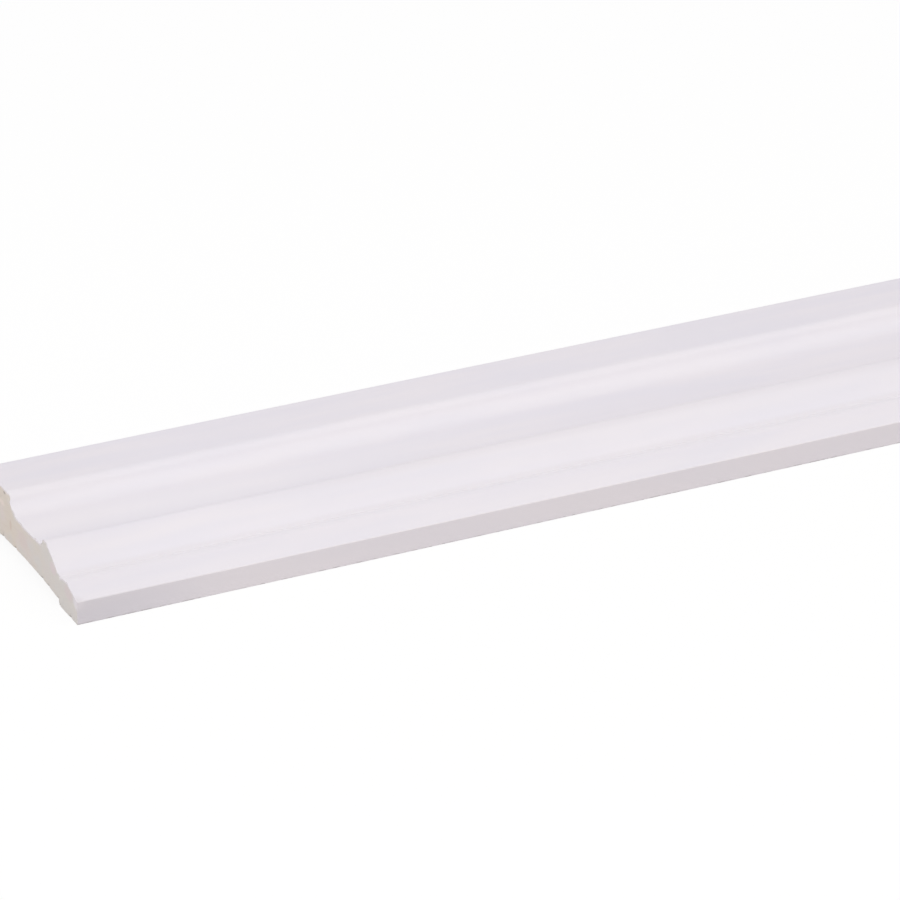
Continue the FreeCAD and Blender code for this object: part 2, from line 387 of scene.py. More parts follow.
@dataclass(frozen=True)
class Primer(Finish):
    """White factory primer with a faint lilac cast, greyer at the near end, with painted light and
    painted shade in places.
    """

    corner: Vector
    strips: tuple[Strip, ...]
    name: str = "white_primer"
    full: RGB = tone(229, 225, 231)
    cool: RGB = tone(225, 222, 230)
    drift: Patches = Patches(60 * MM, 9 * MM, 9 * MM, limits=(0.3, 0.7))
    # Tint of the upright front edge, painted to offset the colour of the light that reaches it.
    edge: RGB = tone(228, 222, 225)
    edge_share: float = 0.6
    edge_limits: tuple[float, float] = (0.4 * MM, 0.1 * MM)
    # Grey that the paint takes within the last 50 mm to the near end, most on the front edge; also
    # the painted shade of the near front corner.
    near_end_grey: RGB = tone(196, 191, 194)
    greying_reach: float = 50.0 * MM
    greying_share: float = 0.06
    edge_greying_share: float = 0.34
    # Painted highlight on the front edge at the near front corner, with painted shade on the nose
    # face, standing in for the corner's rounding.
    painted_corner: RGB = tone(236, 230, 234)
    painted_corner_share: float = 0.3
    painted_corner_limits: tuple[float, float] = (3.2 * MM, 0.96 * MM)
    # Dark specks over the lowest part of the face, along the lower arris.
    low_specks: RGB = tone(128, 120, 118)
    low_specks_share: float = 0.5
    low_specks_heights: tuple[float, float] = (0.6 * MM, 0.12 * MM)
    specks: Patches = Patches(2.2 * MM, 1 * MM, 1 * MM, 3.0, (0.46, 0.62))
    grain: Patches = Patches(28 * MM, 0.5 * MM, 0.5 * MM, 3.0)
    peel: Patches = Patches(1.6 * MM, 1.3 * MM, 1.3 * MM)
    relief: float = 0.03 * MM
    roughness: float = 0.5
    matt: Patches = Patches(20 * MM, 5 * MM, 5 * MM)
    matt_share: float = 0.12

    def colour(self, graph: Graph) -> Wire:
        """Work out the colour of the coat.

        Args:
            graph: Graph that takes the nodes.

        Returns:
            The colour.
        """
        coat = graph.mix(graph.cloud(self.drift), self.full, self.cool)
        along, across, up = graph.axes
        from_end = along - self.corner.x
        # Lay the strips of painted light and painted shade.
        for strip in self.strips:
            near = abs(across - strip.across).rise(strip.reach, 0.0) * strip.share
            if strip.fade:
                near = near * from_end.rise(*strip.fade)
            coat = graph.mix(near, coat, strip.shade)
        on_edge = (across - self.corner.y).rise(*self.edge_limits)
        # Greyer towards the near end, most on the front edge.
        greying = from_end.rise(self.greying_reach, 0.0)
        # Painted tint on the front edge, offsetting the colour of the light that reaches it.
        coat = graph.mix(on_edge * (1.0 - greying) * self.edge_share, coat, self.edge)
        share = self.greying_share + self.edge_greying_share * on_edge
        coat = graph.mix(greying * share, coat, self.near_end_grey)
        # Painted highlight on the front edge and painted shade on the nose face at the near front
        # corner, standing in for its rounding.
        painted_corner = graph.distance(self.corner).rise(*self.painted_corner_limits) * self.painted_corner_share
        coat = graph.mix(painted_corner * on_edge, coat, self.painted_corner)
        coat = graph.mix(painted_corner * (1.0 - on_edge), coat, self.near_end_grey)
        # Dark specks over the lowest part of the face.
        low_specks = graph.cloud(self.specks) * up.rise(*self.low_specks_heights)
        return graph.mix(low_specks * self.low_specks_share, coat, self.low_specks)

    def surface(self, graph: Graph) -> Surface:
        """Show the coat with its fine grain and orange peel.

        Args:
            graph: Graph that takes the nodes.

        Returns:
            The colour, roughness and relief.
        """
        height = 0.5 * graph.cloud(self.grain) + 0.5 * graph.cloud(self.peel)
        roughness = self.roughness + self.matt_share * graph.cloud(self.matt)
        return Surface(self.colour(graph), roughness, height, self.relief)


@dataclass(frozen=True)
class Softwood:
    """Pale softwood with its growth rings about a pith that lies under the moulding."""

    pith_across: float = 12.0 * MM
    pith_up: float = -42.0 * MM
    ring_width: float = 2.3 * MM
    ring_wander: float = 5.0 * MM
    wander: Patches = Patches(300 * MM, 22 * MM, 22 * MM)
    drift: Patches = Patches(90 * MM, 6 * MM, 6 * MM)
    late_start: tuple[float, float] = (0.45, 0.88)
    late_end: tuple[float, float] = (1.0, 0.93)
    early: RGB = tone(218, 210, 199)
    late: RGB = tone(203, 191, 178)
    rose: RGB = tone(220, 210, 211)
    rose_share: float = 0.4
    rosy: Patches = Patches(40 * MM, 6 * MM, 6 * MM, 1.0, (0.4, 0.7))
    grey: RGB = tone(214, 212, 208)
    grey_share: float = 0.8
    greyed: Patches = Patches(60 * MM, 9 * MM, 5 * MM, 1.0, (0.4, 0.7))

    def rings(self, graph: Graph) -> Wire:
        """Work out the growth rings.

        Args:
            graph: Graph that takes the nodes.

        Returns:
            1 in the late wood that ends each ring and 0 in the early wood.
        """
        _, across, up = graph.axes
        reach = (across - self.pith_across).hypotenuse(up - self.pith_up)
        reach = reach + self.ring_wander * graph.cloud(self.wander)
        age = (reach / self.ring_width + graph.cloud(self.drift)).fraction()
        return age.rise(*self.late_start) * age.rise(*self.late_end)

    def colour(self, graph: Graph, contrast: float) -> Wire:
        """Work out the colour of the bare wood.

        Args:
            graph: Graph that takes the nodes.
            contrast: Strength of the growth rings, from 0 to 1.

        Returns:
            The colour.
        """
        wood = graph.mix(self.rings(graph) * contrast, self.early, self.late)
        wood = graph.mix(graph.cloud(self.rosy) * self.rose_share, wood, self.rose)
        return graph.mix(graph.cloud(self.greyed) * self.grey_share, wood, self.grey)


@dataclass(frozen=True)
class Blemish:
    """Oval spot on the sawn near end, in another shade than the wood round it."""

    setback: float
    up: float
    half_across: float
    half_up: float
    shade: RGB
    share: float


NEAR_BLEMISHES = (
    Blemish(52.7 * MM, 17.0 * MM, 0.8 * MM, 0.5 * MM, tone(158, 148, 142), 0.7),
    Blemish(55.2 * MM, 13.0 * MM, 2.2 * MM, 0.9 * MM, tone(231, 219, 211), 0.7),
    Blemish(48.9 * MM, 8.6 * MM, 0.8 * MM, 1.8 * MM, tone(203, 184, 170), 0.5),
    Blemish(39.5 * MM, 8.0 * MM, 4.0 * MM, 2.5 * MM, tone(216, 203, 201), 0.5),
    Blemish(30.4 * MM, 13.0 * MM, 0.5 * MM, 0.6 * MM, tone(176, 156, 152), 0.7),
    Blemish(17.0 * MM, 9.6 * MM, 2.5 * MM, 2.0 * MM, tone(222, 208, 212), 0.6),
    Blemish(6.0 * MM, 7.0 * MM, 3.6 * MM, 2.4 * MM, tone(218, 205, 206), 0.5),
)


@dataclass(frozen=True)
class SawnEnd(Finish):
    """Bare end grain as a fine saw left it, with primer drawn over its rim."""

    primer: Primer
    front: float
    width: float
    smear: tuple[float, float]
    name: str = "sawn_end_grain"
    wood: Softwood = Softwood()
    ring_contrast: float = 0.1
    greyed_width: tuple[float, float] = (0.7, 0.2)
    greyed_share: float = 0.75
    # Dark tone of the broken rim: torn fibres, and painted shade in the chips.
    torn_and_shaded: RGB = tone(116, 110, 104)
    torn_and_shaded_share: float = 0.9
    spot_fade: tuple[float, float] = (1.25, 0.5)
    smear_reach: float = 2.6 * MM
    drawn_limits: tuple[float, float] = (0.55, 1.2)
    drawn_share: float = 0.75
    ragged: Patches = Patches(1 * MM, 1 * MM, 1 * MM)
    raggedness: float = 0.5
    blade_across: float = 35.0 * MM
    blade_up: float = -118.0 * MM
    tooth_pitch: float = 1.1 * MM
    tooth_wander: float = 6.0
    patchy: Patches = Patches(5 * MM, 4 * MM, 4 * MM)
    mark_depth: float = 0.25
    pores: Patches = Patches(0.35 * MM, 0.35 * MM, 0.35 * MM)
    pore_limits: tuple[float, float] = (0.5, 0.75)
    pore_share: float = 0.2
    relief: float = 0.06 * MM
    roughness: float = 0.85

    def spot(self, graph: Graph, middle: tuple[float, float], halves: tuple[float, float]) -> Wire:
        """Work out a soft oval spot on the end.

        Args:
            graph: Graph that takes the nodes.
            middle: Its middle, as a setback from the front edge and a height.
            halves: Half its width and half its height.

        Returns:
            1 in the spot, and 0 outside it.
        """
        _, across, up = graph.axes
        aside = (across - (self.front + middle[0])) / halves[0]
        above = (up - middle[1]) / halves[1]
        return aside.hypotenuse(above).rise(*self.spot_fade)

    def marked(self, graph: Graph, wood: Wire) -> Wire:
        """Add the blemishes of the near end.

        Args:
            graph: Graph that takes the nodes.
            wood: Colour without them.

        Returns:
            The colour with them.
        """
        along, _, _ = graph.axes
        on_near_end = along.rise(0.0, -1 * MM)
        for mark in NEAR_BLEMISHES:
            halves = (mark.half_across, mark.half_up)
            spot = self.spot(graph, (mark.setback, mark.up), halves)
            wood = graph.mix(spot * on_near_end * mark.share, wood, mark.shade)
        return wood

    def surface(self, graph: Graph) -> Surface:
        """Show the end grain with its saw marks.

        Args:
            graph: Graph that takes the nodes.

        Returns:
            The colour, roughness and relief.
        """
        _, across, up = graph.axes
        wood = self.wood.colour(graph, self.ring_contrast)
        thin_side = ((across - self.front) / self.width).rise(*self.greyed_width)
        wood = graph.mix(thin_side * self.greyed_share, wood, self.wood.grey)
        wood = self.marked(graph, wood)

        from_blade = (across - self.blade_across).hypotenuse(up - self.blade_up)
        sweep = from_blade * (2 * math.pi / self.tooth_pitch)
        patchy = graph.cloud(self.patchy)
        marks = (sweep + self.tooth_wander * patchy).wave() * patchy
        pores = graph.cloud(self.pores)
        wood = graph.mix(pores.rise(*self.pore_limits) * self.pore_share, wood, self.wood.late)
        # Darker where the rim broke: torn fibres, and painted shade in the chips.
        wood = graph.mix(graph.attribute(TORN_AND_SHADED_ATTRIBUTE) * self.torn_and_shaded_share, wood, self.torn_and_shaded)

        ragged = self.raggedness * graph.cloud(self.ragged)
        drawn = (graph.attribute(RIM_ATTRIBUTE) + ragged).rise(*self.drawn_limits)
        smear = self.spot(graph, self.smear, (self.smear_reach, self.smear_reach))
        colour = graph.mix(drawn.larger(smear) * self.drawn_share, wood, self.primer.full)
        return Surface(colour, self.roughness, self.mark_depth * marks + pores, self.relief)


@dataclass(frozen=True)
class PlanedBack(Finish):
    """Bare planed back, with a mist of primer that the spray carried under each edge."""

    primer: Primer
    half_width: float
    name: str = "planed_back"
    wood: Softwood = Softwood()
    ring_contrast: float = 0.8
    fibres: Patches = Patches(22 * MM, 0.4 * MM, 0.4 * MM, 3.0)
    fibre_limits: tuple[float, float] = (0.5, 0.75)
    fibre_share: float = 0.35
    mist_reach: float = 5.0 * MM
    mist_limits: tuple[float, float] = (1.3, 0.5)
    mist_share: float = 0.9
    speckle: Patches = Patches(2 * MM, 1 * MM, 1 * MM, 4.0)
    speckle_share: float = 1.2
    knife_pitch: float = 1.6 * MM
    knife_depth: float = 0.12
    relief: float = 0.05 * MM
    roughness: float = 0.8
    mist_smoothness: float = 0.2

    def surface(self, graph: Graph) -> Surface:
        """Show the long grain with its knife marks.

        Args:
            graph: Graph that takes the nodes.

        Returns:
            The colour, roughness and relief.
        """
        along, across, _ = graph.axes
        fibres = graph.cloud(self.fibres)
        wood = self.wood.colour(graph, self.ring_contrast)
        dark = fibres.rise(*self.fibre_limits)
        wood = graph.mix(dark * self.fibre_share, wood, self.wood.late)
        from_edge = (self.half_width - abs(across)) / self.mist_reach
        speckle = self.speckle_share * graph.cloud(self.speckle)
        mist = (from_edge + speckle).rise(*self.mist_limits)
        colour = graph.mix(mist * self.mist_share, wood, self.primer.full)
        knife = (along * (2 * math.pi / self.knife_pitch)).wave()
        roughness = self.roughness - self.mist_smoothness * mist
        return Surface(colour, roughness, fibres + self.knife_depth * knife, self.relief)


@dataclass
class Outline:
    """Closed outline of the section, anticlockwise as seen from +X, each point across and up."""

    points: list[Vector]
    zones: list[Zone] = field(default_factory=list)
    face_step: float = 0.6 * MM
    back_step: float = 1.2 * MM
    hold: float = 0.2 * MM
    short: float = 0.8 * MM
    turn: float = 6.0

    def line_to(self, end: Vector, zone: Zone = Zone.PRIMED) -> None:
        """Draw a flat. A point is held close to each end of all but a short one, to shade it flat.

        Args:
            end: Where the flat ends.
            zone: Zone that the flat belongs to.
        """
        start = self.points[-1]
        reach = (end - start).length
        step = self.face_step if zone is Zone.PRIMED else self.back_step
        if reach <= self.short:
            shares = [0.5, 1.0]
        else:
            inner = reach - 2 * self.hold
            count = math.ceil(inner / step)
            shares = [(self.hold + inner * n / count) / reach for n in range(count + 1)]
            shares.append(1.0)
        for share in shares:
            self._add(start.lerp(end, share), zone)

    def arc_to(self, end: Vector, centre: Vector, zone: Zone = Zone.PRIMED) -> None:
        """Draw a round, the shorter way about its centre.

        Args:
            end: Where the round ends.
            centre: Centre of the round.
            zone: Zone that the round belongs to.
        """
        arm = self.points[-1] - centre
        sweep = -arm.angle_signed(end - centre)
        step = self.face_step if zone is Zone.PRIMED else self.back_step
        by_turn = abs(math.degrees(sweep)) / self.turn
        by_length = abs(sweep) * arm.length / step
        count = math.ceil(max(by_turn, by_length, 2))
        for n in range(1, count + 1):
            self._add(centre + Matrix.Rotation(sweep * n / count, 2) @ arm, zone)

    def _add(self, point: Vector, zone: Zone) -> None:
        """Add a point and the zone of the stretch that leads to it."""
        self.points.append(point)
        self.zones.append(zone)

    def close(self) -> None:
        """Drop the last point, which is the first one again."""
        self.points.pop()

    def inward(self) -> list[Vector]:
        """Work out the way into the wood at each point.

        Returns:
            A unit vector for each point.
        """
        count = len(self.points)
        found = []
        for n in range(count):
            along = (self.points[(n + 1) % count] - self.points[n - 1]).normalized()
            found.append(Vector((-along.y, along.x)))
        return found

    def travelled(self) -> list[float]:
        """Measure how far round the outline each point is.

        Returns:
            The distance from the first point, for each point and for the first one again.
        """
        distances = [0.0]
        for n, point in enumerate(self.points):
            following = self.points[(n + 1) % len(self.points)]
            distances.append(distances[-1] + (following - point).length)
        return distances


def leaning(tilt: float) -> Vector:
    """Give the unit vector that leans from upright towards the front edge, by an angle."""
    angle = math.radians(tilt)
    return Vector((-math.sin(angle), math.cos(angle)))


def way_out(start: Vector, direction: Vector, centre: Vector, radius: float) -> float:
    """Measure how far a point inside a circle is from its edge.

    Args:
        start: Point inside the circle.
        direction: Way to go, as a unit vector.
        centre: Centre of the circle.
        radius: Radius of the circle.

    Returns:
        The distance to where that way leaves the circle.
    """
    offset = start - centre
    half = offset.dot(direction)
    return math.sqrt(half ** 2 - offset.dot(offset) + radius ** 2) - half


def upper_crossing(
    centre_a: Vector, radius_a: float, centre_b: Vector, radius_b: float
) -> Vector:
    """Find where two circles cross.

    Args:
        centre_a: Centre of the first circle.
        radius_a: Radius of the first circle.
        centre_b: Centre of the second circle.
        radius_b: Radius of the second circle.

    Returns:
        The upper of the two crossings.
    """
    apart = centre_b - centre_a
    along = (apart.length_squared + radius_a ** 2 - radius_b ** 2) / (2 * apart.length)
    aside = math.sqrt(radius_a ** 2 - along ** 2)
    unit = apart.normalized()
    foot = centre_a + unit * along
    normal = Vector((-unit.y, unit.x))
    return max(foot + normal * aside, foot - normal * aside, key=lambda point: point.y)


@dataclass
class Section:
    """Moulded section: its sizes, and where its rounds and flats meet."""

    width: float
    thickness: float
    band_width: float = 17.0 * MM
    band_round: float = 3.2 * MM
    step_angle: float = 63.0
    sweep_radius: float = 6.5 * MM
    cove_depth: float = 5.5 * MM
    cove_hollow: float = 0.8 * MM
    bead_rise: float = 3.0 * MM
    bead_setback: float = 23.0 * MM
    bead_radius: float = 2.6 * MM
    quirk_angle: float = 52.0
    ovolo_radius: float = 40.0 * MM
    ovolo_tilt: float = 28.0
    crease_round: float = 0.8 * MM
    nose_depth: float = 8.2 * MM
    nose_setback: float = 8.0 * MM
    nose_back_radius: float = 9.0 * MM
    nose_radius: float = 4.0 * MM
    nose_tilt: float = 18.0
    nose_face_radius: float = 60.0 * MM
    front_round: float = 0.3 * MM
    back_round: float = 0.4 * MM
    foot_round: float = 0.3 * MM
    front_pad: float = 13.4 * MM
    back_pad: float = 7.5 * MM
    relief_wall_depth: float = 1.7 * MM
    relief_wall_run: float = 0.5 * MM
    relief_radius: float = 250.0 * MM

    def __post_init__(self) -> None:
        """Place every round from the sizes."""
        self.front = -self.width / 2
        self.back = self.width / 2
        self.cove_floor = self.thickness - self.cove_depth
        self._place_cove()
        self._place_step()
        self._place_bead()
        self._place_nose()
        self._place_front_edge()
        self._place_relief()

    def _place_cove(self) -> None:
        """Find the circle that the floor of the cove lies on."""
        band_start = self.back - self.band_width
        half_span = (self.width - self.band_width - self.bead_setback) / 2
        self.band_front = Vector((band_start, self.thickness))
        self.cove_radius = (half_span ** 2 / self.cove_hollow + self.cove_hollow) / 2
        self.cove_centre = Vector((band_start - half_span, self.cove_floor + self.cove_radius))

    def _place_step(self) -> None:
        """Drop from the back band and sweep out into the cove."""
        outward = leaning(self.step_angle)
        downward = Vector((-outward.y, outward.x))
        self.band_centre = self.band_front - Vector((0, self.band_round))
        self.step_top = self.band_centre + outward * self.band_round
        sweep_start = self.step_top + outward * self.sweep_radius
        reach = self.cove_radius - self.sweep_radius
        drop = way_out(sweep_start, downward, self.cove_centre, reach)
        self.step_foot = self.step_top + downward * drop
        self.sweep_centre = sweep_start + downward * drop
        to_sweep = (self.sweep_centre - self.cove_centre).normalized()
        self.cove_back = self.cove_centre + to_sweep * self.cove_radius

    def _place_bead(self) -> None:
        """Stand the bead in front of the cove, with a sharp quirk between them."""
        height = self.cove_floor + self.bead_rise - self.bead_radius
        self.bead_centre = Vector((self.front + self.bead_setback, height))
        outward = leaning(-self.quirk_angle)
        downward = Vector((outward.y, -outward.x))
        self.bead_back = self.bead_centre + outward * self.bead_radius
        fall = way_out(self.bead_back, downward, self.cove_centre, self.cove_radius)
        self.quirk = self.bead_back + downward * fall
        ovolo_outward = leaning(self.ovolo_tilt)
        self.bead_front = self.bead_centre + ovolo_outward * self.bead_radius
        self.ovolo_centre = self.bead_front - ovolo_outward * self.ovolo_radius

    def _place_nose(self) -> None:
        """Raise the nose in front of the ovolo, with a small hollow between them."""
        top = Vector((self.front + self.nose_setback, self.thickness - self.nose_depth))
        self.nose_top = top
        self.nose_back_centre = top - Vector((0, self.nose_back_radius))
        self.crease_centre = upper_crossing(
            self.ovolo_centre,
            self.ovolo_radius + self.crease_round,
            self.nose_back_centre,
            self.nose_back_radius + self.crease_round,
        )
        to_ovolo = (self.ovolo_centre - self.crease_centre).normalized()
        self.ovolo_foot = self.crease_centre + to_ovolo * self.crease_round
        to_nose = (self.nose_back_centre - self.crease_centre).normalized()
        self.nose_foot = self.crease_centre + to_nose * self.crease_round
        outward = leaning(self.nose_tilt)
        self.nose_centre = top - Vector((0, self.nose_radius))
        self.face_top = self.nose_centre + outward * self.nose_radius
        self.face_centre = self.face_top - outward * self.nose_face_radius

    def _place_front_edge(self) -> None:
        """Round the nose face over into the upright front edge."""
        across = self.front + self.front_round
        reach = self.nose_face_radius - self.front_round
        rise = math.sqrt(reach ** 2 - (self.face_centre.x - across) ** 2)
        self.round_centre = Vector((across, self.face_centre.y + rise))
        to_round = (self.round_centre - self.face_centre).normalized()
        self.face_foot = self.face_centre + to_round * self.nose_face_radius

    def _place_relief(self) -> None:
        """Find the walls and the shallow arch of the hollow in the back."""
        self.relief_front = Vector((self.front + self.front_pad, 0))
        self.relief_back = Vector((self.back - self.back_pad, 0))
        lean = Vector((self.relief_wall_run, self.relief_wall_depth))
        self.arch_front = self.relief_front + lean
        self.arch_back = self.relief_back + Vector((-lean.x, lean.y))
        half_span = (self.arch_back.x - self.arch_front.x) / 2
        sunk = math.sqrt(self.relief_radius ** 2 - half_span ** 2)
        self.arch_centre = (self.arch_front + self.arch_back) / 2 - Vector((0, sunk))

    def outline(self) -> Outline:
        """Draw the section, from the foot of the front edge over the back and round the face.

        Returns:
            The closed outline.
        """
        foot, edge, top = self.foot_round, self.back_round, self.thickness
        drawn = Outline([Vector((self.front + foot, 0))])
        drawn.line_to(self.relief_front, Zone.BACK)
        drawn.line_to(self.arch_front, Zone.BACK)
        drawn.arc_to(self.arch_back, self.arch_centre, Zone.BACK)
        drawn.line_to(self.relief_back, Zone.BACK)
        drawn.line_to(Vector((self.back - foot, 0)), Zone.BACK)
        drawn.arc_to(Vector((self.back, foot)), Vector((self.back - foot, foot)))
        drawn.line_to(Vector((self.back, top - edge)))
        drawn.arc_to(Vector((self.back - edge, top)), Vector((self.back - edge, top - edge)))
        drawn.line_to(self.band_front)
        drawn.arc_to(self.step_top, self.band_centre)
        drawn.line_to(self.step_foot)
        drawn.arc_to(self.cove_back, self.sweep_centre)
        drawn.arc_to(self.quirk, self.cove_centre)
        drawn.line_to(self.bead_back)
        drawn.arc_to(self.bead_front, self.bead_centre)
        drawn.arc_to(self.ovolo_foot, self.ovolo_centre)
        drawn.arc_to(self.nose_foot, self.crease_centre)
        drawn.arc_to(self.nose_top, self.nose_back_centre)
        drawn.arc_to(self.face_top, self.nose_centre)
        drawn.arc_to(self.face_foot, self.face_centre)
        drawn.arc_to(Vector((self.front, self.round_centre.y)), self.round_centre)
        drawn.line_to(Vector((self.front, foot)))
        drawn.arc_to(drawn.points[0].copy(), Vector((self.front + foot, foot)))
        drawn.close()
        return drawn


@dataclass(frozen=True)
class Chip:
    """Flake that the saw broke off the rim of an end."""

    setback: float
    depth: float
    reach: float
    zone: Zone = Zone.PRIMED


NEAR_CHIPS = (
    Chip(49.6 * MM, 0.55 * MM, 1.6 * MM),
    Chip(46.4 * MM, 0.40 * MM, 1.2 * MM),
    Chip(40.5 * MM, 0.25 * MM, 1.5 * MM),
    Chip(30.4 * MM, 0.45 * MM, 1.1 * MM),
    Chip(25.6 * MM, 0.60 * MM, 1.3 * MM),
    Chip(21.6 * MM, 0.30 * MM, 1.0 * MM),
    Chip(12.9 * MM, 0.45 * MM, 1.2 * MM),
    Chip(7.0 * MM, 0.25 * MM, 0.9 * MM),
    Chip(54.6 * MM, 0.30 * MM, 0.8 * MM, Zone.BACK),
    Chip(46.0 * MM, 0.32 * MM, 0.8 * MM, Zone.BACK),
    Chip(26.0 * MM, 0.28 * MM, 0.7 * MM, Zone.BACK),
    Chip(20.8 * MM, 0.26 * MM, 0.7 * MM, Zone.BACK),
    Chip(14.2 * MM, 0.22 * MM, 0.5 * MM, Zone.BACK),
    Chip(13.2 * MM, 0.24 * MM, 0.6 * MM, Zone.BACK),
    Chip(5.0 * MM, 0.28 * MM, 0.7 * MM, Zone.BACK),
)

FAR_CHIPS = (
    Chip(50.4 * MM, 0.35 * MM, 1.4 * MM),
    Chip(24.9 * MM, 0.45 * MM, 1.2 * MM),
    Chip(4.0 * MM, 0.25 * MM, 1.0 * MM),
    Chip(44.0 * MM, 0.40 * MM, 1.6 * MM, Zone.BACK),
)


@dataclass
class SawCut:
    """Ragged rim and rough face that the saw leaves at one end."""

    end: End
    outline: Outline
    chips: tuple[Chip, ...]
    front: float
    fray: float = 0.16 * MM
    fray_length: float = 1.5 * MM
    tear: float = 0.07 * MM
    tear_size: float = 2.2 * MM
    torn_and_shaded_depth: float = 0.08 * MM
    torn_and_shaded_reach: float = 0.8 * MM
    primed_torn_and_shaded_share: float = 0.3
    break_run: float = 0.3 * MM
    break_slope: float = 1.1
    grid: float = 0.7 * MM
    scatter: float = 0.3
    crowding: float = 0.8
    rim_steps: tuple[float, ...] = (0.25 * MM, 0.6 * MM)
    rim_reach: float = 1.2 * MM

    def __post_init__(self) -> None:
        """Work out how deep the rim is broken at each point of the outline."""
        seed = 10.0 * self.end.value
        self.corners = np.array([tuple(point) for point in self.outline.points])
        self.depths = [
            self.fray * abs(noise(Vector((distance / self.fray_length, seed, 0.5))))
            for distance in self.outline.travelled()[:-1]
        ]
        for chip in self.chips:
            self._break_off(chip)

    def _break_off(self, chip: Chip) -> None:
        """Deepen the rim where a flake is missing.

        Args:
            chip: Flake to break off.
        """
        on_zone = [n for n, zone in enumerate(self.outline.zones) if zone is chip.zone]
        across = self.front + chip.setback
        middle = min(on_zone, key=lambda n: abs(self.outline.points[n].x - across))
        centre = self.outline.points[middle]
        for n, point in enumerate(self.outline.points):
            share = (point - centre).length / chip.reach
            if share < 1:
                self.depths[n] = max(self.depths[n], chip.depth * (1 - share ** 2))

    def inner_points(self) -> list[Vector]:
        """Scatter the points of the sawn face that lie inside its rim.

        Returns:
            Points across and up.
        """
        found = []
        for step in self.rim_steps:
            for point, inward in zip(self.outline.points, self.outline.inward()):
                found.append(point + inward * step)
        low, high = self.corners.min(0), self.corners.max(0)
        for row, up in enumerate(np.arange(low[1], high[1], self.grid)):
            for across in np.arange(low[0] + (row % 2) * self.grid / 2, high[0], self.grid):
                spot = Vector((across, up))
                wobble = Vector((noise((*spot / MM, 1.0)), noise((*spot / MM, 7.0))))
                found.append(spot + wobble * self.grid * self.scatter)
        places = np.array([tuple(point) for point in found])
        clear, _ = self.to_rim(places)
        from_rim = np.arange(len(found)) < len(self.rim_steps) * len(self.corners)
        least_inside = self.rim_steps[-1] + self.scatter * self.grid
        least = np.where(from_rim, self.crowding * self.rim_steps[0], least_inside)
        kept = self.inside(places) & (clear > least)
        return [point for point, keep in zip(found, kept) if keep]

    def to_rim(self, places: np.ndarray) -> tuple[np.ndarray, np.ndarray]:
        """Give each point's distance from the outline's nearest corner, and that corner's number."""
        apart = np.linalg.norm(places[:, None] - self.corners[None], axis=2)
        return apart.min(1), apart.argmin(1)

    def inside(self, places: np.ndarray) -> np.ndarray:
        """Tell which points lie in the section.

        Args:
            places: Points across and up, one a row.

        Returns:
            True for each point that the outline goes round.
        """
        start, stop = self.corners, np.roll(self.corners, -1, axis=0)
        across, up = places[:, None, 0], places[:, None, 1]
        spans = (start[:, 1] > up) != (stop[:, 1] > up)
        rise = np.where(spans, stop[:, 1] - start[:, 1], 1.0)
        crossing = start[:, 0] + (up - start[:, 1]) * (stop[:, 0] - start[:, 0]) / rise
        return (spans & (across < crossing)).sum(1) % 2 == 1

    def torn_and_shaded(self, clear: float, corner: int) -> float:
        """Work out how much torn wood, with painted shade in the chips, shows near the rim.

        Args:
            clear: Distance from the rim.
            corner: Number of the nearest corner of the outline.

        Returns:
            1 in the deepest break and 0 on the plain face.
        """
        broken = max(0.0, self.depths[corner] - self.fray) / self.torn_and_shaded_depth
        shown = 1.0 if self.outline.zones[corner] is Zone.BACK else self.primed_torn_and_shaded_share
        return shown * min(1.0, broken) * max(0.0, 1 - clear / self.torn_and_shaded_reach)

    def sunk(self, point: Vector, clear: float, corner: int) -> float:
        """Work out how deep the sawn face lies behind the plane of the cut.

        Args:
            point: Point across and up.
            clear: Its distance from the rim.
            corner: Number of the nearest corner of the outline.

        Returns:
            The depth.
        """
        broken = self.depths[corner]
        slope = max(0.0, 1 - clear / (self.break_run + self.break_slope * broken))
        rough = 0.5 + 0.5 * noise((*point / self.tear_size, 3.0 * self.end.value))
        settled = min(1.0, clear / self.rim_reach)
        return broken * slope + self.tear * rough * settled


